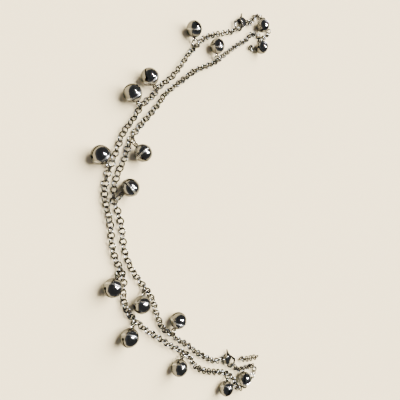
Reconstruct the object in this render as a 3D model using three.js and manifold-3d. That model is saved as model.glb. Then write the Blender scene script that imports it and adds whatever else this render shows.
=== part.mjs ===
// Payal anklet: one closed loop of rolo chain laid out as two side-by-side rows that meet at both tips,
// with jump-ring-hung ghungroo bells and a sprung lobster clasp near each tip.
// Millimetres, +Z up, resting on z = 0, origin under the middle of its bounding box.
import * as THREE from "three";
import { mergeVertices } from "three/addons/utils/BufferGeometryUtils.js";
import Module from "manifold-3d";

const wasm = await Module();
wasm.setup();

// ---- driving dimensions ----
const CHAIN_W = 2.6; // envelope of the rolo links, wide and tall
const CHAIN_Z = CHAIN_W / 2; // height of the chain's centre line
const CHAIN_SIDES = 8;
const CHAIN_STEP = 6; // longest step along a run
const RUN_GAP = 0.3; // between two runs of one row
const LINK_HOLE_L = 1.9; // opening of the link that carries a ring, along the chain
const LINK_HOLE_W = 1.5;
const LINK_WIRE = 0.6; // height of that link's wire
const EYELET_L = 2.0; // flat end link of a row
const EYELET_HOLE_L = 1.1;
const EYELET_EASE = 0.6; // the flat part runs this much past both ends of the end link, together
const EYELET_HOLE_AT = 0.95; // from the end of the row to the middle of its end link's hole

const BELL_R = 3.3;
const BELL_WALL = 0.4;
const SEAM_R = 3.5; // raised lip where the two half shells meet
const SEAM_H = 0.5;
const SLIT_W = 0.8;
const SLIT_TOP = -1.6; // how far up the shell the slit reaches
const BELL_Z = 3.4; // height of a bell's centre as it lies
const BELL_TILT = THREE.MathUtils.degToRad(20); // loop end dips toward the chain
const LOOP_R = 0.7;
const LOOP_WIRE_R = 0.22;
const LOOP_AT = 3.85; // from the bell's centre to its loop's centre

const SMALL_RING = { radius: 1.25, wire: 0.25 };
const LARGE_RING = { radius: 1.7, wire: 0.3 };
const HOOK_RING = { radius: 1.6, wire: 0.25 };
const RING_LIFT = 0.05; // a ring's lowest point above the surface

const CLASP_T = 2.6; // thickness of the clasp's block
const LIMB_T = 0.9; // thickness of its hook
const HOOK_AT = 1.4; // centre of the hook's round opening along the clasp
const HOOK_IN_R = 2.2;
const HOOK_OUT_R = 3.1;
const NOSE_ANGLE = THREE.MathUtils.degToRad(52);
const EYE_AT = -5.3;
const EYE_R = 1.2;
const EYE_HOLE_R = 0.7;
const EYE_T = 0.6;
const PIVOT = [-2.2, 1.2];
const PIN_R = 0.35;
const PIN_SEAT = 0.2; // how deep each end of the pin stands in the block
const LEVER_T = 0.9;
const SLOT_T = 1.3; // the slot in the block that the lever turns in
const SLOT_SIZE = [3.3, 3.4];
const SLOT_AT = [-1.75, 1.4];
const PIN_PLAY = 0.15; // round the pin in the lever's hole
const HOOKED_AT = { radius: 1.5, angle: THREE.MathUtils.degToRad(-18) }; // where a ring sits in the hook
const RING_AIM = 4; // how much further out that ring points

const SILVER = 0xc9c8c4;
const BRIGHT_SILVER = 0xd4d3d0;

// ---- routes and places, in plan ----
const ROW_ONE = [
  [22.9, 82.3], [20.6, 80.1], [16.7, 78.5], [11.7, 75.9], [6.3, 73.3], [0.8, 69.9], [-4.3, 64.5],
  [-9.1, 59.2], [-13.3, 53.2], [-18.3, 47.2], [-23.6, 42.7], [-27.1, 38.2], [-32.3, 33.2], [-36.3, 27.2],
  [-40.6, 21.3], [-42.9, 15.4], [-45.0, 10.3], [-47.0, 4.9], [-47.6, -0.6], [-46.4, -6.1], [-45.3, -11.1],
  [-44.8, -17.1], [-43.6, -22.1], [-41.4, -26.6], [-40.2, -30.6], [-40.4, -35.5], [-39.0, -41.3],
  [-34.8, -46.7], [-29.6, -51.7], [-23.6, -56.6], [-17.6, -61.4], [-12.0, -65.3], [-7.6, -69.6],
  [-4.1, -74.6], [0.9, -78.1], [6.9, -80.9], [14.4, -84.1], [19.4, -87.4], [21.9, -91.1], [23.6, -94.7],
  [27.9, -96.9], [32.4, -96.5], [36.9, -94.3], [39.0, -91.3], [36.6, -88.9], [32.4, -88.0], [28.4, -87.4],
  [24.8, -86.3], [22.4, -84.6], [21.5, -83.2],
];
const ROW_TWO = [
  [31.7, 88.9], [35.4, 89.9], [37.6, 93.2], [41.1, 96.1], [45.9, 96.5], [50.2, 94.8], [52.0, 91.3],
  [49.6, 88.1], [44.9, 85.8], [39.4, 85.8], [35.4, 84.1], [32.2, 80.3], [27.2, 76.9], [21.2, 72.4],
  [13.8, 66.3], [8.8, 61.9], [1.8, 57.7], [-5.1, 53.7], [-10.8, 48.9], [-16.6, 44.1], [-21.4, 39.7],
  [-24.2, 35.9], [-27.4, 31.9], [-31.6, 27.2], [-35.6, 22.4], [-38.2, 17.4], [-40.0, 12.4],
  [-42.4, 7.4], [-43.9, 2.9], [-44.1, -1.6], [-42.4, -6.4], [-41.1, -11.1], [-40.5, -16.1], [-39.5, -21.1],
  [-37.0, -26.9], [-33.1, -32.4], [-29.6, -36.9], [-27.1, -41.6], [-25.2, -47.1], [-22.5, -52.5],
  [-18.2, -56.1], [-13.8, -60.1], [-8.6, -63.9], [-4.4, -67.9], [0.8, -71.7], [5.9, -75.3], [9.4, -76.7],
  [12.4, -76.7],
];
const UPPER_TAIL = [[33.8, 76.9], [36.2, 77.7], [38.6, 77.3]];
const LOWER_TAIL = [[26.2, -81.5], [29.3, -82.8], [32.9, -84.0], [37.4, -85.0], [41.9, -86.0]];

// Each bell: its name, about where it lies, about where its ring hangs on the row, its ring, and how far its
// shell is rolled on its own axis, in degrees.
const ROW_ONE_BELLS = [
  { name: "bell_01", lies: [-7.1, 69.1], hangs: [-5.0, 63.7], ring: LARGE_RING, roll: 20 },
  { name: "bell_02", lies: [-30.8, 43.9], hangs: [-25.4, 40.6], ring: SMALL_RING, roll: 70 },
  { name: "bell_03", lies: [-38.2, 36.2], hangs: [-33.0, 32.5], ring: SMALL_RING, roll: -40 },
  { name: "bell_04", lies: [-49.4, 12.1], hangs: [-45.6, 8.7], ring: SMALL_RING, roll: 100 },
  { name: "bell_05", lies: [-44.8, -30.7], hangs: [-41.5, -26.4], ring: LARGE_RING, roll: 90 },
  { name: "bell_06", lies: [-38.6, -49.9], hangs: [-35.5, -45.8], ring: SMALL_RING, roll: 95 },
  { name: "bell_07", lies: [-15.0, -69.1], hangs: [-11.2, -65.1], ring: SMALL_RING, roll: 40 },
  { name: "bell_08", lies: [13.2, -90.3], hangs: [17.0, -85.7], ring: SMALL_RING, roll: -20 },
  { name: "bell_09", lies: [27.4, -91.7], hangs: [28.7, -96.9], ring: SMALL_RING, roll: 60 },
];
const ROW_TWO_BELLS = [
  { name: "bell_10", lies: [43.2, 90.4], hangs: [45.4, 96.5], ring: SMALL_RING, roll: 10 },
  { name: "bell_11", lies: [42.6, 79.9], hangs: [44.3, 85.8], ring: LARGE_RING, roll: 80 },
  { name: "bell_12", lies: [7.2, 67.5], hangs: [8.6, 62.9], ring: SMALL_RING, roll: 15 },
  { name: "bell_13", lies: [-34.0, 15.8], hangs: [-37.0, 19.7], ring: SMALL_RING, roll: -60 },
  { name: "bell_14", lies: [-38.8, 2.3], hangs: [-43.8, -2.4], ring: LARGE_RING, roll: 75 },
  { name: "bell_15", lies: [-33.6, -39.7], hangs: [-31.2, -34.9], ring: SMALL_RING, roll: 85 },
  { name: "bell_16", lies: [-16.2, -50.1], hangs: [-17.7, -56.3], ring: SMALL_RING, roll: 120 },
];

// ---- solids and meshes ----
function solidOf(geometry) {
  geometry.deleteAttribute("normal");
  geometry.deleteAttribute("uv");
  const merged = mergeVertices(geometry, 1e-4);
  return new wasm.Manifold(
    new wasm.Mesh({
      numProp: 3,
      vertProperties: merged.getAttribute("position").array,
      triVerts: new Uint32Array(merged.index.array),
    }),
  );
}

function geometryOf(solid) {
  const mesh = solid.getMesh();
  const geometry = new THREE.BufferGeometry();
  geometry.setAttribute("position", new THREE.BufferAttribute(new Float32Array(mesh.vertProperties), 3));
  geometry.setIndex(new THREE.BufferAttribute(new Uint32Array(mesh.triVerts), 1));
  geometry.computeVertexNormals();
  return geometry;
}

// A box solid centred at (x, y, z), turned about the vertical.
function boxAt(length, width, height, x, y, z, turn = 0) {
  const geometry = new THREE.BoxGeometry(length, width, height);
  geometry.rotateZ(turn);
  geometry.translate(x, y, z);
  return solidOf(geometry);
}

const anklet = new THREE.Group();

function addMesh(name, geometry, color = SILVER, roughness = 0.12) {
  const material = new THREE.MeshStandardMaterial({ color, roughness, metalness: 1 });
  const mesh = new THREE.Mesh(geometry, material);
  mesh.name = name;
  anklet.add(mesh);
  return mesh;
}

// ---- the chain ----
function curveThrough(points) {
  const route = points.map(([x, y]) => new THREE.Vector3(x, y, CHAIN_Z));
  const curve = new THREE.CatmullRomCurve3(route, false, "centripetal");
  curve.arcLengthDivisions = 1200;
  return curve;
}

// The stretch of a curve between two lengths along it.
class Stretch extends THREE.Curve {
  constructor(curve, from, to) {
    super();
    this.curve = curve;
    this.from = from / curve.getLength();
    this.to = to / curve.getLength();
  }
  getPoint(t, target = new THREE.Vector3()) {
    return this.curve.getPointAt(THREE.MathUtils.lerp(this.from, this.to, t), target);
  }
}

// A flat-bottomed tube along a stretch of chain.
function tube(curve, from, to) {
  const corner = CHAIN_Z / Math.cos(Math.PI / CHAIN_SIDES);
  const section = new THREE.Shape();
  for (let i = 0; i < CHAIN_SIDES; i++) {
    const angle = ((i + 0.5) * 2 * Math.PI) / CHAIN_SIDES;
    section[i ? "lineTo" : "moveTo"](corner * Math.cos(angle), corner * Math.sin(angle));
  }
  section.closePath();
  const steps = Math.max(2, Math.ceil((to - from) / CHAIN_STEP));
  return solidOf(new THREE.ExtrudeGeometry(section, { steps, extrudePath: new Stretch(curve, from, to) }));
}

function turnAt(curve, along) {
  const tangent = curve.getTangentAt(along / curve.getLength());
  return Math.atan2(tangent.y, tangent.x);
}

// Trims the tube around one place down to a flat link's wire.
function trimToWire(solid, place, turn, length) {
  const high = CHAIN_Z - LINK_WIRE / 2;
  const above = boxAt(length, 2 * CHAIN_W, high * 2, place.x, place.y, CHAIN_W, turn);
  const below = boxAt(length, 2 * CHAIN_W, high * 2, place.x, place.y, 0, turn);
  return solid.subtract(above).subtract(below);
}

// Opens the link that a bell's ring passes through.
function cutLink(solid, curve, along) {
  const place = curve.getPointAt(along / curve.getLength());
  const turn = turnAt(curve, along);
  const trimmed = trimToWire(solid, place, turn, LINK_HOLE_L);
  return trimmed.subtract(boxAt(LINK_HOLE_L, LINK_HOLE_W, 2 * CHAIN_W, place.x, place.y, CHAIN_Z, turn));
}

// Makes the flat end link of a row, at its start (side 1) or its end (side -1).
function cutEyelet(solid, curve, end, side) {
  const turn = turnAt(curve, end);
  const middle = curve.getPointAt((end + (side * EYELET_L) / 2) / curve.getLength());
  const hole = curve.getPointAt((end + side * EYELET_HOLE_AT) / curve.getLength());
  const trimmed = trimToWire(solid, middle, turn, EYELET_L + EYELET_EASE);
  return trimmed.subtract(boxAt(EYELET_HOLE_L, LINK_HOLE_W, 2 * CHAIN_W, hole.x, hole.y, CHAIN_Z, turn));
}

function nearestAlong(curve, [x, y]) {
  const length = curve.getLength();
  const tries = 2400;
  let best = 0;
  let least = Infinity;
  for (let i = 0; i <= tries; i++) {
    const point = curve.getPointAt(i / tries);
    const far = Math.hypot(point.x - x, point.y - y);
    if (far < least) {
      least = far;
      best = (i / tries) * length;
    }
  }
  return best;
}

// A row is cut into runs half way between its bells, each run carrying one bell's open link.
function addRow(name, points, bells, eyelets) {
  const curve = curveThrough(points);
  const length = curve.getLength();
  const links = bells.map((bell) => nearestAlong(curve, bell.hangs)).sort((a, b) => a - b);
  const cuts = [0];
  for (let i = 1; i < links.length; i++) {
    cuts.push((links[i - 1] + links[i]) / 2);
  }
  cuts.push(length);
  links.forEach((along, i) => {
    const from = cuts[i] + (i ? RUN_GAP / 2 : 0);
    const to = cuts[i + 1] - (i < links.length - 1 ? RUN_GAP / 2 : 0);
    let run = cutLink(tube(curve, from, to), curve, along);
    if (i === 0 && eyelets.start) run = cutEyelet(run, curve, 0, 1);
    if (i === links.length - 1 && eyelets.end) run = cutEyelet(run, curve, length, -1);
    addMesh(`${name}_run_${String(i + 1).padStart(2, "0")}`, geometryOf(run));
  });
  return curve;
}

function addTail(name, points) {
  const curve = curveThrough(points);
  addMesh(name, geometryOf(tube(curve, 0, curve.getLength())));
}

// ---- rings ----
function addRing(name, { radius, wire }, from, toward, fromZ, toZ) {
  // A ring standing on edge, through the link at `from` and on toward `toward`.
  const rise = Math.max(radius + wire + RING_LIFT, (fromZ + toZ) / 2);
  const near = Math.sqrt(radius ** 2 - (rise - fromZ) ** 2);
  const way = new THREE.Vector3(toward.x - from.x, toward.y - from.y, 0).normalize();
  const up = new THREE.Vector3(0, 0, 1);
  const mesh = addMesh(name, new THREE.TorusGeometry(radius, wire, 5, 10), BRIGHT_SILVER);
  mesh.position.set(from.x + way.x * near, from.y + way.y * near, rise);
  const basis = new THREE.Matrix4().makeBasis(way, up, way.clone().cross(up));
  mesh.quaternion.setFromRotationMatrix(basis);
}

// How far apart a ring's two passes are, seen from above.
function ringReach({ radius, wire }, fromZ, toZ) {
  const rise = Math.max(radius + wire + RING_LIFT, (fromZ + toZ) / 2);
  return Math.sqrt(radius ** 2 - (rise - fromZ) ** 2) + Math.sqrt(radius ** 2 - (rise - toZ) ** 2);
}

// ---- bells ----
// Two domed half shells with a lip between them, slit across the bottom, on +Y a soldered loop.
function bellGeometry(roll) {
  const domeSteps = 4;
  const lip = SEAM_H / 2;
  const lipAngle = Math.asin(lip / BELL_R);
  const profile = [];
  for (let i = 0; i < domeSteps; i++) {
    const angle = THREE.MathUtils.lerp(-Math.PI / 2, -lipAngle, i / (domeSteps - 1));
    profile.push(new THREE.Vector2(BELL_R * Math.cos(angle), BELL_R * Math.sin(angle)));
  }
  profile.push(new THREE.Vector2(SEAM_R, -lip));
  profile.push(new THREE.Vector2(SEAM_R, lip));
  for (let i = 0; i < domeSteps; i++) {
    const angle = THREE.MathUtils.lerp(lipAngle, Math.PI / 2, i / (domeSteps - 1));
    profile.push(new THREE.Vector2(BELL_R * Math.cos(angle), BELL_R * Math.sin(angle)));
  }
  profile[0].x = 0;
  profile[profile.length - 1].x = 0;
  const shell = solidOf(new THREE.LatheGeometry(profile, 10));
  const hollow = solidOf(new THREE.SphereGeometry(BELL_R - BELL_WALL, 8, 5));
  const slitHeight = BELL_R + SLIT_TOP + 1;
  const slitGeometry = new THREE.BoxGeometry(SLIT_W, slitHeight, 2 * BELL_R);
  slitGeometry.translate(0, SLIT_TOP - slitHeight / 2, 0);
  slitGeometry.rotateY(roll);
  const loopGeometry = new THREE.TorusGeometry(LOOP_R, LOOP_WIRE_R, 4, 8);
  loopGeometry.translate(0, LOOP_AT, 0);
  return geometryOf(shell.subtract(hollow).subtract(solidOf(slitGeometry)).add(solidOf(loopGeometry)));
}

function addBell(curve, { name, lies, hangs, ring, roll }) {
  const link = curve.getPointAt(nearestAlong(curve, hangs) / curve.getLength());
  const outward = new THREE.Vector3(lies[0] - link.x, lies[1] - link.y, 0).normalize();
  const loopZ = BELL_Z - LOOP_AT * Math.sin(BELL_TILT);
  const reach = ringReach(ring, CHAIN_Z, loopZ) + LOOP_AT * Math.cos(BELL_TILT);
  const axis = new THREE.Vector3(
    -outward.x * Math.cos(BELL_TILT),
    -outward.y * Math.cos(BELL_TILT),
    -Math.sin(BELL_TILT),
  );
  const across = new THREE.Vector3(-outward.y, outward.x, 0);
  const mesh = addMesh(name, bellGeometry(THREE.MathUtils.degToRad(roll)), BRIGHT_SILVER, 0.08);
  mesh.position.set(link.x + outward.x * reach, link.y + outward.y * reach, BELL_Z);
  mesh.quaternion.setFromRotationMatrix(
    new THREE.Matrix4().makeBasis(across, axis, across.clone().cross(axis)),
  );
  addRing(name.replace("bell", "bell_ring"), ring, link, mesh.position, CHAIN_Z, loopZ);
}

// ---- lobster clasps ----
// Along +X from its eye to its hook, the lever on the +Y side, its mid plane on z = 0.
function extrudeFlat(shape, thickness, curveSegments) {
  const geometry = new THREE.ExtrudeGeometry(shape, { depth: thickness, bevelEnabled: false, curveSegments });
  geometry.translate(0, 0, -thickness / 2);
  return solidOf(geometry);
}

function claspBodyGeometry() {
  const block = new THREE.Shape();
  block.moveTo(-0.9, 2.1);
  block.lineTo(-3.3, 2.1);
  block.lineTo(-4.3, 1.1);
  block.lineTo(-4.3, -1.1);
  block.lineTo(-3.3, -1.9);
  block.lineTo(-0.9, -2.3);
  block.closePath();
  const hook = new THREE.Shape();
  hook.absarc(HOOK_AT, 0, HOOK_OUT_R, -Math.PI, NOSE_ANGLE, false);
  hook.absarc(HOOK_AT, 0, HOOK_IN_R, NOSE_ANGLE, -Math.PI, true);
  hook.closePath();
  const eye = new THREE.Shape();
  eye.absarc(EYE_AT, 0, EYE_R, 0, 2 * Math.PI, false);
  const eyeHole = new THREE.Path();
  eyeHole.absarc(EYE_AT, 0, EYE_HOLE_R, 0, 2 * Math.PI, true);
  eye.holes.push(eyeHole);
  const pin = new THREE.CylinderGeometry(PIN_R, PIN_R, SLOT_T + 2 * PIN_SEAT, 10);
  pin.rotateX(Math.PI / 2);
  pin.translate(PIVOT[0], PIVOT[1], 0);
  const slot = boxAt(...SLOT_SIZE, SLOT_T, ...SLOT_AT, 0);
  return geometryOf(
    extrudeFlat(block, CLASP_T, 8)
      .add(extrudeFlat(hook, LIMB_T, 12))
      .subtract(slot)
      .add(extrudeFlat(eye, EYE_T, 8))
      .add(solidOf(pin)),
  );
}

function claspLeverGeometry() {
  const lever = new THREE.Shape();
  lever.moveTo(2.55, 1.65);
  lever.lineTo(1.6, 2.35);
  lever.lineTo(-1.2, 2.3);
  lever.lineTo(-2.3, 2.5);
  lever.lineTo(-5.0, 3.9);
  lever.lineTo(-5.1, 3.4);
  lever.lineTo(-3.05, 1.7);
  lever.lineTo(-3.05, 0.8);
  lever.lineTo(-2.5, 0.4);
  lever.lineTo(-1.7, 0.5);
  lever.lineTo(-0.4, 1.25);
  lever.lineTo(1.2, 1.5);
  lever.lineTo(2.2, 1.0);
  lever.closePath();
  const hole = new THREE.Path();
  hole.absarc(PIVOT[0], PIVOT[1], PIN_R + PIN_PLAY, 0, 2 * Math.PI, true);
  lever.holes.push(hole);
  return geometryOf(extrudeFlat(lever, LEVER_T, 8));
}

// `flipped` lays the clasp on its other face. Returns where its eye is, and where a hooked ring passes.
function addClasp(name, at, heading, flipped) {
  const turn = new THREE.Matrix4().makeRotationZ(heading);
  if (flipped) turn.multiply(new THREE.Matrix4().makeRotationX(Math.PI));
  const clasp = [addMesh(`${name}_body`, claspBodyGeometry()), addMesh(`${name}_lever`, claspLeverGeometry())];
  for (const mesh of clasp) {
    mesh.position.set(at[0], at[1], CLASP_T / 2);
    mesh.quaternion.setFromRotationMatrix(turn);
  }
  const placed = (x, y) => new THREE.Vector3(x, y, 0).applyMatrix4(turn).add(clasp[0].position);
  const { radius, angle } = HOOKED_AT;
  const out = radius + RING_AIM;
  return {
    eye: placed(EYE_AT, 0),
    hooked: placed(HOOK_AT + radius * Math.cos(angle), radius * Math.sin(angle)),
    outward: placed(HOOK_AT + out * Math.cos(angle), out * Math.sin(angle)),
  };
}

// ---- assembly ----
const rowOne = addRow("row_one", ROW_ONE, ROW_ONE_BELLS, { start: true, end: true });
const rowTwo = addRow("row_two", ROW_TWO, ROW_TWO_BELLS, { start: true, end: true });
for (const bell of ROW_ONE_BELLS) addBell(rowOne, bell);
for (const bell of ROW_TWO_BELLS) addBell(rowTwo, bell);
addTail("upper_tail", UPPER_TAIL);
addTail("lower_tail", LOWER_TAIL);

const upper = addClasp("upper_clasp", [26.0, 86.0], THREE.MathUtils.degToRad(217), true);
const lower = addClasp("lower_clasp", [18.2, -79.6], THREE.MathUtils.degToRad(-35), false);
addRing("upper_hook_ring", HOOK_RING, upper.hooked, upper.outward, CHAIN_Z, CHAIN_Z);
addRing("lower_hook_ring", HOOK_RING, lower.hooked, lower.outward, CHAIN_Z, CHAIN_Z);
const endHole = EYELET_HOLE_AT / rowTwo.getLength();
addRing("upper_eye_ring", SMALL_RING, upper.eye, rowTwo.getPointAt(endHole), CHAIN_Z, CHAIN_Z);
addRing("lower_eye_ring", SMALL_RING, lower.eye, rowTwo.getPointAt(1 - endHole), CHAIN_Z, CHAIN_Z);

export default anklet;
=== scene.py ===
import math

import bmesh
import bpy
import numpy as np
from mathutils import Matrix, Vector


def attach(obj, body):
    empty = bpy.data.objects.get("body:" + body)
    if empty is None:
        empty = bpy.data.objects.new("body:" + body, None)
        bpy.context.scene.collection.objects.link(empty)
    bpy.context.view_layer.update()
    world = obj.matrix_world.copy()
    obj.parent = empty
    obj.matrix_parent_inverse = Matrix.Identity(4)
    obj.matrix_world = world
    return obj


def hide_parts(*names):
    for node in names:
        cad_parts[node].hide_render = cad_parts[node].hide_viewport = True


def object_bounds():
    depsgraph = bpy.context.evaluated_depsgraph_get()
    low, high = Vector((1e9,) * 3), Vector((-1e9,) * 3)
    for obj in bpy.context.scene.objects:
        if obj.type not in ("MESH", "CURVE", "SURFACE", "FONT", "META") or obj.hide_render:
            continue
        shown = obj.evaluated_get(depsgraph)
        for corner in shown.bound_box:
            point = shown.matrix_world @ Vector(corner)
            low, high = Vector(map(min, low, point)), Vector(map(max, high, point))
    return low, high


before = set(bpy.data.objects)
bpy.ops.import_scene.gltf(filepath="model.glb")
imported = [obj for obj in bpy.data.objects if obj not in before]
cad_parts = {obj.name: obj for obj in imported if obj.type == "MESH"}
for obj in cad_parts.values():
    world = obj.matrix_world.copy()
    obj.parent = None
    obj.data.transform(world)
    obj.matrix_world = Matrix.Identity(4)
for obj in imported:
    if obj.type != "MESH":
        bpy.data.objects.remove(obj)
cad_low, cad_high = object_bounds()

MM = 0.001

# ---- sizes, mm: places and main sizes as in the CAD model, sections finer ----
LINK_OUT_R = 1.45  # outside radius of a rolo link; one that lies nearly flat is wider than the CAD tube
LINK_WIRE_R = 0.27
LINK_RISE = 1.1  # height of the links' centre line
LINK_PITCH = 1.84
END_TUCK = 0.2  # how far a row's last link reaches past its route
LINK_LEAN = math.radians(43)  # each link leans this way, the next the other way
LINK_YAW_JITTER = 0.07  # radians
LINK_LEAN_JITTER = 0.16  # radians
TOUCH_GAP = 0.02  # the least height of a link above the surface
LINK_TWIST = math.radians(24)  # how far the chain rolls on its own line between two bells
BELL_R = 3.3
BELL_WALL = 0.3  # thinner than the CAD shell
SEAM_R = 3.44  # over the crimped lip
BEAD_R = 0.5 * (SEAM_R - BELL_R) + 0.06  # each half shell's rolled edge
BEAD_AT = 0.14  # from the seam to the middle of that edge
LIP_MASK = (0.03, 0.4)  # what counts as lip: this far outside the dome, this close to the seam
BELL_Z = 3.4
BELL_TILT = math.radians(20)
LOOP_R = 0.7
LOOP_WIRE_R = 0.22
LOOP_AT = 3.85
SLIT_W = 0.55  # narrower than the CAD slit
SLIT_TOP = -1.6  # how far up the shell the slit reaches
SLIT_LENGTH = 5.6
SLIT_END_R = 0.55  # round hole at each end of the slit
SLIT_END_OUT = 2.8
CHAIN_Z = 1.3
SMALL_RING = (1.25, 0.25)
LARGE_RING = (1.7, 0.3)
HOOK_RING = (1.6, 0.25)
RING_LIFT = 0.05  # a ring's lowest point above the surface
RING_CUT = 0.035  # half the hairline gap where a ring was closed
RING_CUT_ANGLE = 0.9
RING_SEGMENTS, RING_SIDES = 48, 14
END_HOLE = 0.95  # from the end of a row to where the clasp's ring passes through it
CLASP_T = 2.6
CHEEK_T, CHEEK_BEVEL = 0.62, 0.24
CORE_T, CORE_BEVEL = 1.5, 0.1
HOOK_T, HOOK_BEVEL = 0.9, 0.4
LEVER_T, LEVER_BEVEL = 0.85, 0.26
NOSE_R = 0.44
RIVET_R, RIVET_HALF = 0.4, 1.29
EYE_R, EYE_WIRE = 0.94, 0.25
HOOK_AT, HOOK_IN_R, HOOK_OUT_R = 1.4, 2.2, 3.1
NOSE_ANGLE = math.radians(52)
EYE_AT = -5.3
PIVOT = (-2.2, 1.2)
HOOKED_RADIUS, HOOKED_ANGLE = 1.5, math.radians(-18)  # where a ring sits in the hook
RING_AIM = 4  # how much further out that ring points

# ---- camera: half way up over the -X side, rolled so that +Y is up ----
CAMERA_PITCH = math.radians(45)
CAMERA_AT = (-101.6, -2.1, 101.0)
CAMERA_LENS = 28.9
CAMERA_SENSOR = 36


def make_camera():
    camera = bpy.data.cameras.new("camera")
    camera.lens = CAMERA_LENS
    camera.sensor_width = CAMERA_SENSOR
    camera.clip_start = 0.005
    thing = bpy.data.objects.new("camera", camera)
    sin, cos = math.sin(CAMERA_PITCH), math.cos(CAMERA_PITCH)
    right, up, back = Vector((sin, 0, cos)), Vector((0, 1, 0)), Vector((-cos, 0, sin))
    turn = Matrix((right, up, back)).transposed()
    thing.matrix_world = Matrix.Translation(Vector(CAMERA_AT) * MM) @ turn.to_4x4()
    bpy.context.scene.collection.objects.link(thing)
    bpy.context.scene.camera = thing


make_camera()

# ---- routes and places, mm, in plan ----
ROW_ONE = [
    (22.9, 82.3), (20.6, 80.1), (16.7, 78.5), (11.7, 75.9), (6.3, 73.3), (0.8, 69.9), (-4.3, 64.5),
    (-9.1, 59.2), (-13.3, 53.2), (-18.3, 47.2), (-23.6, 42.7), (-27.1, 38.2), (-32.3, 33.2), (-36.3, 27.2),
    (-40.6, 21.3), (-42.9, 15.4), (-45.0, 10.3), (-47.0, 4.9), (-47.6, -0.6), (-46.4, -6.1), (-45.3, -11.1),
    (-44.8, -17.1), (-43.6, -22.1), (-41.4, -26.6), (-40.2, -30.6), (-40.4, -35.5), (-39.0, -41.3),
    (-34.8, -46.7), (-29.6, -51.7), (-23.6, -56.6), (-17.6, -61.4), (-12.0, -65.3), (-7.6, -69.6),
    (-4.1, -74.6), (0.9, -78.1), (6.9, -80.9), (14.4, -84.1), (19.4, -87.4), (21.9, -91.1), (23.6, -94.7),
    (27.9, -96.9), (32.4, -96.5), (36.9, -94.3), (39.0, -91.3), (36.6, -88.9), (32.4, -88.0), (28.4, -87.4),
    (24.8, -86.3), (22.4, -84.6), (21.5, -83.2),
]
ROW_TWO = [
    (31.7, 88.9), (35.4, 89.9), (37.6, 93.2), (41.1, 96.1), (45.9, 96.5), (50.2, 94.8), (52.0, 91.3),
    (49.6, 88.1), (44.9, 85.8), (39.4, 85.8), (35.4, 84.1), (32.2, 80.3), (27.2, 76.9), (21.2, 72.4),
    (13.8, 66.3), (8.8, 61.9), (1.8, 57.7), (-5.1, 53.7), (-10.8, 48.9), (-16.6, 44.1), (-21.4, 39.7),
    (-24.2, 35.9), (-27.4, 31.9), (-31.6, 27.2), (-35.6, 22.4), (-38.2, 17.4), (-40.0, 12.4),
    (-42.4, 7.4), (-43.9, 2.9), (-44.1, -1.6), (-42.4, -6.4), (-41.1, -11.1), (-40.5, -16.1), (-39.5, -21.1),
    (-37.0, -26.9), (-33.1, -32.4), (-29.6, -36.9), (-27.1, -41.6), (-25.2, -47.1), (-22.5, -52.5),
    (-18.2, -56.1), (-13.8, -60.1), (-8.6, -63.9), (-4.4, -67.9), (0.8, -71.7), (5.9, -75.3), (9.4, -76.7),
    (12.4, -76.7),
]
UPPER_TAIL = [(33.8, 76.9), (36.2, 77.7), (38.6, 77.3)]
LOWER_TAIL = [(26.2, -81.5), (29.3, -82.8), (32.9, -84.0), (37.4, -85.0), (41.9, -86.0)]
# each bell: its name, about where it lies, about where its ring hangs on the row, its ring, and the roll
# of its shell in degrees
ROW_ONE_BELLS = [
    ("bell_01", (-7.1, 69.1), (-5.0, 63.7), LARGE_RING, 20),
    ("bell_02", (-30.8, 43.9), (-25.4, 40.6), SMALL_RING, 70),
    ("bell_03", (-38.2, 36.2), (-33.0, 32.5), SMALL_RING, -40),
    ("bell_04", (-49.4, 12.1), (-45.6, 8.7), SMALL_RING, 100),
    ("bell_05", (-44.8, -30.7), (-41.5, -26.4), LARGE_RING, 90),
    ("bell_06", (-38.6, -49.9), (-35.5, -45.8), SMALL_RING, 95),
    ("bell_07", (-15.0, -69.1), (-11.2, -65.1), SMALL_RING, 40),
    ("bell_08", (13.2, -90.3), (17.0, -85.7), SMALL_RING, -20),
    ("bell_09", (27.4, -91.7), (28.7, -96.9), SMALL_RING, 60),
]
ROW_TWO_BELLS = [
    ("bell_10", (43.2, 90.4), (45.4, 96.5), SMALL_RING, 10),
    ("bell_11", (42.6, 79.9), (44.3, 85.8), LARGE_RING, 80),
    ("bell_12", (7.2, 67.5), (8.6, 62.9), SMALL_RING, 15),
    ("bell_13", (-34.0, 15.8), (-37.0, 19.7), SMALL_RING, -60),
    ("bell_14", (-38.8, 2.3), (-43.8, -2.4), LARGE_RING, 75),
    ("bell_15", (-33.6, -39.7), (-31.2, -34.9), SMALL_RING, 85),
    ("bell_16", (-16.2, -50.1), (-17.7, -56.3), SMALL_RING, 120),
]


# ---- materials ----
def link_nodes(tree, *pairs):
    for source, target in pairs:
        tree.links.new(source, target)


def noise(tree, scale, detail):
    node = tree.nodes.new("ShaderNodeTexNoise")
    node.inputs["Scale"].default_value = scale
    node.inputs["Detail"].default_value = detail
    place = tree.nodes.new("ShaderNodeTexCoord")
    tree.links.new(place.outputs["Object"], node.inputs["Vector"])
    return node


def colour_mix(tree, first, second):
    mix = tree.nodes.new("ShaderNodeMix")
    mix.data_type = "RGBA"
    mix.inputs["A"].default_value = (*first, 1)
    mix.inputs["B"].default_value = (*second, 1)
    return mix


def bump(tree, strength, distance):
    node = tree.nodes.new("ShaderNodeBump")
    node.inputs["Strength"].default_value = strength
    node.inputs["Distance"].default_value = distance * MM
    return node


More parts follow.
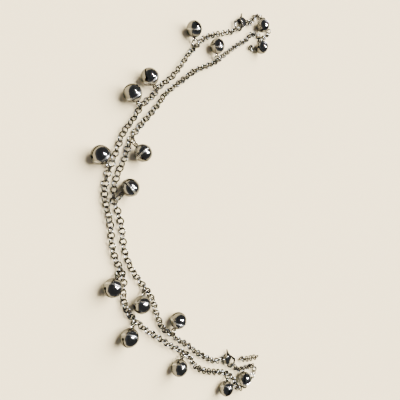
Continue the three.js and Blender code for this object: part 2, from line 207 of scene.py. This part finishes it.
def silver(name, colour, worn, rough, grain):
    """Dark polished silver: a slow change of tone, a hazy gloss, tiny dings and a pressed waviness."""
    material = bpy.data.materials.new(name)
    material.use_nodes = True
    tree = material.node_tree
    shader = tree.nodes["Principled BSDF"]
    shader.inputs["Metallic"].default_value = 1.0
    shader.inputs["Specular Tint"].default_value = (0.5, 0.5, 0.5, 1)
    tone = noise(tree, scale=260, detail=5)
    haze = noise(tree, scale=900, detail=4)
    dings = noise(tree, scale=1500, detail=2)
    waves = noise(tree, scale=420, detail=1)
    mix = colour_mix(tree, colour, worn)
    gloss = tree.nodes.new("ShaderNodeMapRange")
    gloss.inputs["From Min"].default_value = 0.3
    gloss.inputs["From Max"].default_value = 0.7
    gloss.inputs["To Min"].default_value = rough * 0.5
    gloss.inputs["To Max"].default_value = rough * 1.7
    fine = bump(tree, grain, 0.02)
    swell = bump(tree, 0.8, 0.3)
    link_nodes(
        tree,
        (tone.outputs["Fac"], mix.inputs["Factor"]),
        (mix.outputs["Result"], shader.inputs["Base Color"]),
        (haze.outputs["Fac"], gloss.inputs["Value"]),
        (gloss.outputs["Result"], shader.inputs["Roughness"]),
        (waves.outputs["Fac"], swell.inputs["Height"]),
        (dings.outputs["Fac"], fine.inputs["Height"]),
        (swell.outputs["Normal"], fine.inputs["Normal"]),
        (fine.outputs["Normal"], shader.inputs["Normal"]),
    )
    return material


def matt_lip_painted_highlight(material, colour, rough):
    """Makes the crimped edge, which is filed and not polished, duller than the domes beside it, and paints it
    paler as a painted highlight: the bright line where the seam catches the light.
    """
    tree = material.node_tree
    shader = tree.nodes["Principled BSDF"]
    lip = tree.nodes.new("ShaderNodeAttribute")
    lip.attribute_name = "lip"
    # mixes the paler painted highlight colour onto the lip
    tone = tree.nodes.new("ShaderNodeMix")
    tone.data_type = "RGBA"
    tone.inputs["B"].default_value = (*colour, 1)
    dull = tree.nodes.new("ShaderNodeMath")
    dull.operation = "MULTIPLY_ADD"
    dull.inputs[1].default_value = rough
    link_nodes(
        tree,
        (lip.outputs["Fac"], tone.inputs["Factor"]),
        (shader.inputs["Base Color"].links[0].from_socket, tone.inputs["A"]),
        (lip.outputs["Fac"], dull.inputs[0]),
        (shader.inputs["Roughness"].links[0].from_socket, dull.inputs[2]),
    )
    link_nodes(
        tree,
        (tone.outputs["Result"], shader.inputs["Base Color"]),
        (dull.outputs["Value"], shader.inputs["Roughness"]),
    )


CHAIN_METAL = silver("chain_silver", (0.16, 0.158, 0.153), (0.06, 0.059, 0.056), 0.16, 0.3)
BELL_METAL = silver("bell_silver", (0.235, 0.233, 0.226), (0.095, 0.094, 0.09), 0.09, 0.3)
# the pale lip colour is a painted highlight along the seam; the added roughness is the lip's own duller
# finish
matt_lip_painted_highlight(BELL_METAL, (0.42, 0.418, 0.41), 0.14)
RING_METAL = silver("ring_silver", (0.26, 0.258, 0.25), (0.13, 0.129, 0.124), 0.12, 0.2)
CLASP_METAL = silver("clasp_silver", (0.25, 0.248, 0.24), (0.12, 0.119, 0.114), 0.13, 0.3)

SHARP_ANGLE = 35
BELL_SHARP_ANGLE = 28


# ---- mesh helpers: all shapes are made in mm and scaled once ----
def make_object(name, verts, faces, material, body="anklet", *, slot, replaces, sharp=SHARP_ANGLE):
    mesh = bpy.data.meshes.new(name)
    mesh.from_pydata((np.asarray(verts) * MM).tolist(), [], faces)
    mesh.update()
    finish_mesh(mesh, material, sharp)
    return place(name, mesh, body, slot, replaces)


def finish_mesh(mesh, material, sharp):
    mesh.shade_smooth()
    mesh.set_sharp_from_angle(angle=math.radians(sharp))
    mesh.materials.clear()
    mesh.materials.append(material)


def place(name, mesh, body, slot, replaces):
    thing = bpy.data.objects.new(name, mesh)
    bpy.context.scene.collection.objects.link(thing)
    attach(thing, body)
    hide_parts(*replaces)
    return thing


def grid_faces(rings, sides):
    """Quads of a grid that closes both ways."""
    faces = []
    for i in range(rings):
        for j in range(sides):
            a, b = i * sides + j, i * sides + (j + 1) % sides
            c, d = ((i + 1) % rings) * sides + (j + 1) % sides, ((i + 1) % rings) * sides + j
            faces.append((a, d, c, b))
    return faces


def torus_points(radius, wire, rings, sides):
    turn = np.arange(rings) * 2 * np.pi / rings
    side = np.arange(sides) * 2 * np.pi / sides
    away = radius + wire * np.cos(side)[None, :]
    x = away * np.cos(turn)[:, None]
    y = away * np.sin(turn)[:, None]
    z = np.broadcast_to(wire * np.sin(side)[None, :], x.shape)
    return np.stack([x, y, z], axis=-1).reshape(-1, 3)


def basis(x, y, z):
    return np.array([x, y, z]).T


def joined(shapes):
    """Several (points, faces) as one."""
    verts, faces, count = [], [], 0
    for points, quads in shapes:
        verts.append(points)
        faces.extend(tuple(i + count for i in quad) for quad in quads)
        count += len(points)
    return np.concatenate(verts), faces


# ---- routes ----
SAMPLES_PER_SPAN = 60
WAY_STEP = 0.3  # half the stretch a direction is taken over


class Route:
    """A centripetal spline through points in plan, measured along its length."""

    def __init__(self, points):
        p = np.array(points, float)
        p = np.vstack([2 * p[0] - p[1], p, 2 * p[-1] - p[-2]])
        samples = []
        for i in range(1, len(p) - 2):
            x0, x1, x2, x3 = p[i - 1 : i + 3]
            d0, d1, d2 = (math.sqrt(np.linalg.norm(b - a)) for a, b in ((x0, x1), (x1, x2), (x2, x3)))
            out = ((x1 - x0) / d0 - (x2 - x0) / (d0 + d1) + (x2 - x1) / d1) * d1
            back = ((x2 - x1) / d1 - (x3 - x1) / (d1 + d2) + (x3 - x2) / d2) * d1
            t = np.linspace(0, 1, SAMPLES_PER_SPAN, endpoint=False)[:, None]
            bend = -3 * x1 + 3 * x2 - 2 * out - back
            twist = 2 * x1 - 2 * x2 + out + back
            samples.append(x1 + out * t + bend * t**2 + twist * t**3)
        samples.append(p[-2][None, :])
        self.points = np.concatenate(samples)
        steps = np.linalg.norm(np.diff(self.points, axis=0), axis=1)
        self.along = np.concatenate([[0], np.cumsum(steps)])
        self.length = self.along[-1]

    def at(self, along):
        return np.array([np.interp(along, self.along, self.points[:, k]) for k in (0, 1)])

    def way(self, along):
        step = self.at(min(along + WAY_STEP, self.length)) - self.at(max(along - WAY_STEP, 0))
        return step / np.linalg.norm(step)

    def nearest(self, place):
        far = np.linalg.norm(self.points - np.array(place), axis=1)
        return self.along[int(np.argmin(far))]


def inside(points):
    """Points moved, by a hair if at all, to stay within the CAD model's box."""
    low, high = np.array(cad_low) / MM, np.array(cad_high) / MM
    return points + np.maximum(low - points.min(axis=0), 0) - np.maximum(points.max(axis=0) - high, 0)


# ---- chain links ----
LINK_RINGS, LINK_SIDES = 28, 10
LINK = torus_points(LINK_OUT_R - LINK_WIRE_R, LINK_WIRE_R, LINK_RINGS, LINK_SIDES)
LINK_FACES = grid_faces(LINK_RINGS, LINK_SIDES)


def link_at(route, along, lean, rng):
    """One link, leaning about the chain's own line."""
    x, y = route.at(along)
    way = route.way(along)
    yaw = rng.uniform(-LINK_YAW_JITTER, LINK_YAW_JITTER)
    cos, sin = math.cos(yaw), math.sin(yaw)
    way = np.array([way[0] * cos - way[1] * sin, way[0] * sin + way[1] * cos, 0])
    side = np.array([-way[1], way[0], 0])
    lean += rng.uniform(-LINK_LEAN_JITTER, LINK_LEAN_JITTER)
    flat = side * math.cos(lean) + np.array([0, 0, math.sin(lean)])
    points = LINK @ basis(way, flat, np.cross(way, flat)).T
    low = points[:, 2].min()
    rise = max(LINK_RISE, TOUCH_GAP - low)
    return inside(points + np.array([x, y, rise])), LINK_FACES


def chain_links(route, hangs, seed):
    """Links along a route, with one centred at each bell's ring and leaning up toward that bell."""
    rng = np.random.default_rng(seed)
    ends = [(LINK_OUT_R - END_TUCK, 1)] + sorted(hangs) + [(route.length - LINK_OUT_R + END_TUCK, 1)]
    shapes = []
    for (start, lean_start), (end, lean_end) in zip(ends, ends[1:]):
        wanted = (end - start) / LINK_PITCH
        count = max(1, round(wanted))
        even = lean_start == lean_end
        if (count % 2 == 0) != even:
            count += 1 if wanted > count else -1
        count = max(1, count)
        for i in range(count):
            lean = lean_start * LINK_LEAN * (1 if i % 2 == 0 else -1)
            lean += LINK_TWIST * math.sin(math.pi * i / count)
            shapes.append(link_at(route, start + (end - start) * i / count, lean, rng))
    shapes.append(link_at(route, ends[-1][0], ends[-1][1] * LINK_LEAN, rng))
    return joined(shapes)


# ---- bells ----
def lathe(profile, sides, inward=False):
    """A surface turned about +Y from (radius, height) pairs whose ends are on the axis."""
    turn = np.arange(sides) * 2 * np.pi / sides
    cos, sin = np.cos(turn), np.sin(turn)
    rings = [np.stack([r * cos, np.full(sides, h), -r * sin], axis=-1) for r, h in profile[1:-1]]
    verts = np.concatenate([[(0, profile[0][1], 0)]] + rings + [[(0, profile[-1][1], 0)]])
    faces = []
    last = len(verts) - 1
    for j in range(sides):
        k = (j + 1) % sides
        faces.append((0, 1 + k, 1 + j))
        for i in range(len(rings) - 1):
            a, b = 1 + i * sides, 1 + (i + 1) * sides
            faces.append((a + j, a + k, b + k, b + j))
        top = 1 + (len(rings) - 1) * sides
        faces.append((top + j, top + k, last))
    if inward:
        faces = [tuple(reversed(f)) for f in faces]
    return verts, faces


def dome(radius, start, end, steps):
    angles = np.linspace(math.radians(start), math.radians(end), steps)
    return [(radius * math.cos(a), radius * math.sin(a)) for a in angles]


def lip_profile():
    """The two rolled edges, from the lower dome to the upper one."""
    lower = [
        (SEAM_R - BEAD_R + BEAD_R * math.sin(a), -BEAD_AT - BEAD_R * math.cos(a))
        for a in np.linspace(0.3, 2.6, 8)
    ]
    return lower + [(SEAM_R - BEAD_R, 0.0)] + [(r, -h) for r, h in reversed(lower)]


def mesh_of(bm, name):
    mesh = bpy.data.meshes.new(name)
    bm.to_mesh(mesh)
    bm.free()
    return mesh


def slit_cutters():
    """A slab across the bottom of the shell, and a drill at each of its ends."""
    low = -BELL_R - 1
    bm = bmesh.new()
    bmesh.ops.create_cube(bm, size=1)
    bmesh.ops.scale(bm, vec=(SLIT_W, SLIT_TOP - low, SLIT_LENGTH), verts=bm.verts)
    bmesh.ops.translate(bm, vec=(0, (SLIT_TOP + low) / 2, 0), verts=bm.verts)
    cutters = [bpy.data.objects.new("slit", mesh_of(bm, "slit"))]
    for side in (-1, 1):
        bm = bmesh.new()
        bmesh.ops.create_cone(
            bm, cap_ends=True, segments=24, radius1=SLIT_END_R, radius2=SLIT_END_R, depth=3.2
        )
        aim = Vector((0, SLIT_TOP, side * SLIT_END_OUT)).normalized()
        spin = Vector((0, 0, 1)).rotation_difference(aim).to_matrix()
        bmesh.ops.rotate(bm, matrix=spin, verts=bm.verts)
        bmesh.ops.translate(bm, vec=aim * BELL_R, verts=bm.verts)
        cutters.append(bpy.data.objects.new(f"slit_end_{side}", mesh_of(bm, "slit_end")))
    return cutters


def shell_mesh():
    """Two pressed half shells crimped together, slit across the bottom with a round hole at each slit end."""
    lower, upper = dome(BELL_R, -87, -5.5, 22), dome(BELL_R, 5.5, 87, 22)
    outside = [(0, -BELL_R)] + lower + lip_profile() + upper + [(0, BELL_R)]
    inner = BELL_R - BELL_WALL
    inside_profile = [(0, -inner)] + dome(inner, -80, 80, 16) + [(0, inner)]
    verts, faces = joined([lathe(outside, 72), lathe(inside_profile, 36, inward=True)])
    mesh = bpy.data.meshes.new("shell")
    mesh.from_pydata(verts.tolist(), [], faces)
    shell = bpy.data.objects.new("shell", mesh)
    cutters = slit_cutters()
    for thing in (shell, *cutters):
        bpy.context.scene.collection.objects.link(thing)
    for cutter in cutters:
        cut = shell.modifiers.new(cutter.name, "BOOLEAN")
        cut.operation = "DIFFERENCE"
        cut.solver = "EXACT"
        cut.object = cutter
    done = bpy.data.meshes.new_from_object(shell.evaluated_get(bpy.context.evaluated_depsgraph_get()))
    for thing in (shell, *cutters):
        bpy.data.objects.remove(thing)
    return np.array([v.co[:] for v in done.vertices]), [tuple(p.vertices) for p in done.polygons]


def loop_parts():
    """The wire loop and the little dome of solder it stands in."""
    loop = torus_points(LOOP_R, LOOP_WIRE_R, 32, 12) + np.array([0, LOOP_AT, 0])
    foot = [(0, 3.1), (0.85, 3.16), (0.72, 3.3), (0.5, 3.42), (0.25, 3.5), (0, 3.52)]
    return [(loop, grid_faces(32, 12)), lathe(foot, 24)]


SHELL = shell_mesh()
LOOP = loop_parts()


def ring_passes(ring, from_z, to_z):
    radius, wire = ring
    rise = max(radius + wire + RING_LIFT, (from_z + to_z) / 2)
    return rise, math.sqrt(radius**2 - (rise - from_z) ** 2), math.sqrt(radius**2 - (rise - to_z) ** 2)


def make_ring(name, ring, start, toward, from_z, to_z):
    """A ring standing on edge, with the hairline cut where it was closed."""
    rise, near, _ = ring_passes(ring, from_z, to_z)
    way = np.array([toward[0] - start[0], toward[1] - start[1], 0.0])
    way /= np.linalg.norm(way)
    up = np.array([0, 0, 1.0])
    radius, wire = ring
    rings, sides = RING_SEGMENTS, RING_SIDES
    gap = RING_CUT / radius
    turn = np.linspace(RING_CUT_ANGLE + gap, RING_CUT_ANGLE + 2 * np.pi - gap, rings)
    side = np.arange(sides) * 2 * np.pi / sides
    verts = []
    for a in turn:
        for s in side:
            away = radius + wire * math.cos(s)
            verts.append((away * math.cos(a), away * math.sin(a), wire * math.sin(s)))
    faces = grid_faces(rings, sides)[: (rings - 1) * sides]
    faces.append(tuple(range(sides)))
    faces.append(tuple(reversed(range((rings - 1) * sides, rings * sides))))
    centre = np.array([start[0] + way[0] * near, start[1] + way[1] * near, rise])
    placed = np.array(verts) @ basis(way, up, np.cross(way, up)).T + centre
    return make_object(f"{name}_wire", placed, faces, RING_METAL, slot="rings", replaces=(name,))


def make_bell(route, spec):
    name, lies, hangs, ring, roll = spec
    link = route.at(route.nearest(hangs))
    outward = np.array(lies) - link
    outward /= np.linalg.norm(outward)
    loop_z = BELL_Z - LOOP_AT * math.sin(BELL_TILT)
    _, near, far = ring_passes(ring, CHAIN_Z, loop_z)
    reach = near + far + LOOP_AT * math.cos(BELL_TILT)
    cos, sin = math.cos(BELL_TILT), math.sin(BELL_TILT)
    axis = np.array([-outward[0] * cos, -outward[1] * cos, -sin])
    across = np.array([-outward[1], outward[0], 0])
    centre = np.array([link[0] + outward[0] * reach, link[1] + outward[1] * reach, BELL_Z])
    spin = np.array(Matrix.Rotation(math.radians(roll), 3, "Y"))
    verts, faces = joined([(SHELL[0] @ spin.T, SHELL[1]), *LOOP])
    placed = inside(verts @ basis(across, axis, np.cross(across, axis)).T + centre)
    bell = make_object(
        f"{name}_shell", placed, faces, BELL_METAL, slot="bells", replaces=(name,), sharp=BELL_SHARP_ANGLE
    )
    # the lip mask marks where the seam's painted highlight and its duller gloss go
    away = np.hypot(verts[:, 0], verts[:, 2])
    on_lip = (away > BELL_R + LIP_MASK[0]) & (np.abs(verts[:, 1]) < LIP_MASK[1])
    bell.data.attributes.new("lip", "FLOAT", "POINT").data.foreach_set("value", on_lip.astype(float))
    make_ring(name.replace("bell", "bell_ring"), ring, link, centre, CHAIN_Z, loop_z)


def row_runs(name):
    return sorted(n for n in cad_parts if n.startswith(name + "_run_"))


def make_row(name, points, bells, seed):
    route = Route(points)
    hangs = []
    for _, lies, at, _, _ in bells:
        along = route.nearest(at)
        way, out = route.way(along), np.array(lies) - route.at(along)
        left = way[0] * out[1] - way[1] * out[0] > 0
        hangs.append((along, 1 if left else -1))
    verts, faces = chain_links(route, hangs, seed)
    make_object(f"{name}_links", verts, faces, CHAIN_METAL, slot="chain", replaces=row_runs(name))
    for bell in bells:
        make_bell(route, bell)
    return route


make_row("row_one", ROW_ONE, ROW_ONE_BELLS, 5)
row_two = make_row("row_two", ROW_TWO, ROW_TWO_BELLS, 8)
for tail, points, seed in (("upper_tail", UPPER_TAIL, 5), ("lower_tail", LOWER_TAIL, 6)):
    verts, faces = chain_links(Route(points), [], seed)
    make_object(f"{tail}_links", verts, faces, CHAIN_METAL, slot="chain", replaces=(tail,))


# ---- lobster clasps ----
def arc(x, y, radius, start, end, steps):
    return [(x + radius * math.cos(a), y + radius * math.sin(a)) for a in np.linspace(start, end, steps)]


def flat_solid(outline, thickness, bevel):
    """A plate with rounded edges, from its closed outline."""
    curve = bpy.data.curves.new("plate", "CURVE")
    curve.dimensions = "2D"
    curve.fill_mode = "BOTH"
    curve.extrude = thickness / 2 - bevel
    curve.bevel_depth = bevel
    curve.bevel_resolution = 4
    curve.offset = -bevel
    spline = curve.splines.new("POLY")
    spline.points.add(len(outline) - 1)
    for point, (x, y) in zip(spline.points, outline):
        point.co = (x, y, 0, 1)
    spline.use_cyclic_u = True
    thing = bpy.data.objects.new("plate", curve)
    bpy.context.scene.collection.objects.link(thing)
    mesh = bpy.data.meshes.new_from_object(thing.evaluated_get(bpy.context.evaluated_depsgraph_get()))
    bpy.data.objects.remove(thing)
    return np.array([v.co[:] for v in mesh.vertices]), [tuple(p.vertices) for p in mesh.polygons]


def shifted(shape, z):
    return shape[0] + np.array([0, 0, z]), shape[1]


def clasp_body_shape():
    block = [(-0.9, 2.1), (-2.2, 2.25), (-3.3, 2.05), (-4.1, 1.3), (-4.4, 0.5), (-4.4, -0.5), (-4.1, -1.2)]
    block += [(-3.3, -1.85), (-2.2, -2.15), (-0.9, -2.3), (-0.9, 0.0)]
    cheek = flat_solid(block, CHEEK_T, CHEEK_BEVEL)
    spine = [(-0.9, -0.35), (-3.4, -0.35), (-3.4, 1.9), (-4.1, 1.2), (-4.4, 0.4), (-4.4, -0.5)]
    spine += [(-4.1, -1.2), (-3.3, -1.85), (-2.2, -2.15), (-0.9, -2.3)]
    core = flat_solid(spine, CORE_T, CORE_BEVEL)
    heel = -math.pi * 0.97
    limb = arc(HOOK_AT, 0, HOOK_OUT_R, heel, NOSE_ANGLE, 56)
    limb += arc(HOOK_AT, 0, HOOK_IN_R, NOSE_ANGLE, heel, 44)
    hook = flat_solid(limb, HOOK_T, HOOK_BEVEL)
    nose_x = HOOK_AT + (HOOK_IN_R + HOOK_OUT_R) / 2 * math.cos(NOSE_ANGLE)
    nose_y = (HOOK_IN_R + HOOK_OUT_R) / 2 * math.sin(NOSE_ANGLE)
    nose = lathe([(0, -NOSE_R)] + dome(NOSE_R, -80, 80, 9) + [(0, NOSE_R)], 20)
    nose = (nose[0] + np.array([nose_x, nose_y, 0]), nose[1])
    eye = torus_points(EYE_R, EYE_WIRE, 36, 12) + np.array([EYE_AT, 0, 0])
    head = [(RIVET_R, RIVET_HALF - 0.09), (RIVET_R - 0.07, RIVET_HALF - 0.01), (0, RIVET_HALF)]
    rivet_verts, rivet_faces = lathe([(r, -h) for r, h in reversed(head)] + head, 24)
    rivet = rivet_verts[:, [0, 2, 1]] * np.array([1, -1, 1]) + np.array([*PIVOT, 0])
    rise = (CLASP_T - CHEEK_T) / 2
    parts = [shifted(cheek, rise), shifted(cheek, -rise), core, hook, nose]
    return joined(parts + [(eye, grid_faces(36, 12)), (rivet, rivet_faces)])


def clasp_lever_shape():
    lever = [(2.55, 1.6), (2.3, 2.0), (1.6, 2.3), (0.2, 2.42), (-1.2, 2.4), (-2.2, 2.55), (-3.6, 3.1)]
    lever += [(-4.7, 3.85), (-5.05, 3.85), (-5.05, 3.45), (-4.1, 2.5), (-3.2, 1.8), (-3.05, 1.2)]
    lever += [(-2.95, 0.75), (-2.5, 0.45), (-1.7, 0.55), (-0.4, 1.3), (1.2, 1.55), (2.15, 1.05), (2.5, 1.2)]
    return flat_solid(lever, LEVER_T, LEVER_BEVEL)


CLASP_BODY = clasp_body_shape()
CLASP_LEVER = clasp_lever_shape()


def make_clasp(name, at, heading, flipped, lever_body):
    """Returns the middle of the eye, where a hooked ring passes, and a point further out that way."""
    turn = Matrix.Rotation(heading, 3, "Z")
    if flipped:
        turn = turn @ Matrix.Rotation(math.pi, 3, "X")
    turn = np.array(turn)
    middle = np.array([at[0], at[1], CLASP_T / 2])
    for part, shape, body in (("body", CLASP_BODY, "anklet"), ("lever", CLASP_LEVER, lever_body)):
        verts = shape[0] @ turn.T + middle
        node = f"{name}_{part}"
        make_object(f"{node}_cast", verts, shape[1], CLASP_METAL, body=body, slot="clasps", replaces=(node,))

    def spot(x, y):
        return turn @ np.array([x, y, 0]) + middle

    def from_hook(radius):
        return spot(HOOK_AT + radius * math.cos(HOOKED_ANGLE), radius * math.sin(HOOKED_ANGLE))

    return spot(EYE_AT, 0), from_hook(HOOKED_RADIUS), from_hook(HOOKED_RADIUS + RING_AIM)


upper_eye, upper_hooked, upper_outward = make_clasp(
    "upper_clasp", (26.0, 86.0), math.radians(217), True, "upper_lever"
)
lower_eye, lower_hooked, lower_outward = make_clasp(
    "lower_clasp", (18.2, -79.6), math.radians(-35), False, "lower_lever"
)
make_ring("upper_hook_ring", HOOK_RING, upper_hooked, upper_outward, CHAIN_Z, CHAIN_Z)
make_ring("lower_hook_ring", HOOK_RING, lower_hooked, lower_outward, CHAIN_Z, CHAIN_Z)
make_ring("upper_eye_ring", SMALL_RING, upper_eye, row_two.at(END_HOLE), CHAIN_Z, CHAIN_Z)
make_ring("lower_eye_ring", SMALL_RING, lower_eye, row_two.at(row_two.length - END_HOLE), CHAIN_Z, CHAIN_Z)


# ---- floor, light and surroundings ----
FLOOR_HALF = 4.0  # metres


def make_floor():
    mesh = bpy.data.meshes.new("floor")
    corners = [(x * FLOOR_HALF, y * FLOOR_HALF, 0) for x, y in ((-1, -1), (1, -1), (1, 1), (-1, 1))]
    mesh.from_pydata(corners, [], [(0, 1, 2, 3)])
    floor = bpy.data.objects.new("floor", mesh)
    bpy.context.scene.collection.objects.link(floor)
    mesh.materials.append(pale_paper())


def pale_paper():
    material = bpy.data.materials.new("pale_paper")
    material.use_nodes = True
    tree = material.node_tree
    shader = tree.nodes["Principled BSDF"]
    shader.inputs["Roughness"].default_value = 0.85
    shader.inputs["Specular IOR Level"].default_value = 0.1
    fibre = noise(tree, scale=14, detail=2)
    mix = colour_mix(tree, (0.860, 0.765, 0.588), (0.868, 0.773, 0.597))
    link_nodes(
        tree,
        (fibre.outputs["Fac"], mix.inputs["Factor"]),
        (mix.outputs["Result"], shader.inputs["Base Color"]),
    )
    return material


def make_sun():
    sun = bpy.data.lights.new("soft_sun", "SUN")
    sun.energy = 19.5
    sun.angle = math.radians(72)
    sun.color = (1.0, 0.915, 0.69)
    thing = bpy.data.objects.new("soft_sun", sun)
    thing.rotation_mode = "QUATERNION"
    thing.rotation_quaternion = Vector((0.72, 0.50, 0.85)).to_track_quat("Z", "Y")
    thing.visible_glossy = False
    bpy.context.scene.collection.objects.link(thing)


def make_softbox(name, at, width, height, power):
    """A window-like panel that shows as a highlight in the metal."""
    light = bpy.data.lights.new(name, "AREA")
    light.shape = "RECTANGLE"
    light.size, light.size_y = width, height
    light.energy = power
    thing = bpy.data.objects.new(name, light)
    thing.location = at
    thing.rotation_mode = "QUATERNION"
    thing.rotation_quaternion = Vector(at).to_track_quat("Z", "Y")
    thing.visible_diffuse = False
    bpy.context.scene.collection.objects.link(thing)


def make_world():
    """A dim room, dark overhead and paler near the horizon."""
    world = bpy.data.worlds.new("room")
    world.use_nodes = True
    tree = world.node_tree
    background = tree.nodes["Background"]
    coords = tree.nodes.new("ShaderNodeTexCoord")
    axes = tree.nodes.new("ShaderNodeSeparateXYZ")
    ramp = tree.nodes.new("ShaderNodeValToRGB")
    ramp.color_ramp.elements[0].color = (0.22, 0.222, 0.225, 1)
    ramp.color_ramp.elements[1].position = 0.42
    ramp.color_ramp.elements[1].color = (0.050, 0.051, 0.052, 1)
    middle = ramp.color_ramp.elements.new(0.22)
    middle.color = (0.085, 0.086, 0.088, 1)
    link_nodes(
        tree,
        (coords.outputs["Generated"], axes.inputs["Vector"]),
        (axes.outputs["Z"], ramp.inputs["Fac"]),
        (ramp.outputs["Color"], background.inputs["Color"]),
    )
    background.inputs["Strength"].default_value = 3.0
    bpy.context.scene.world = world


make_floor()
make_sun()
make_softbox("window_tall", (0.30, 0.06, 0.62), 0.04, 0.30, 30)
make_softbox("window_wide", (0.08, 0.24, 0.72), 0.24, 0.035, 20)
make_world()
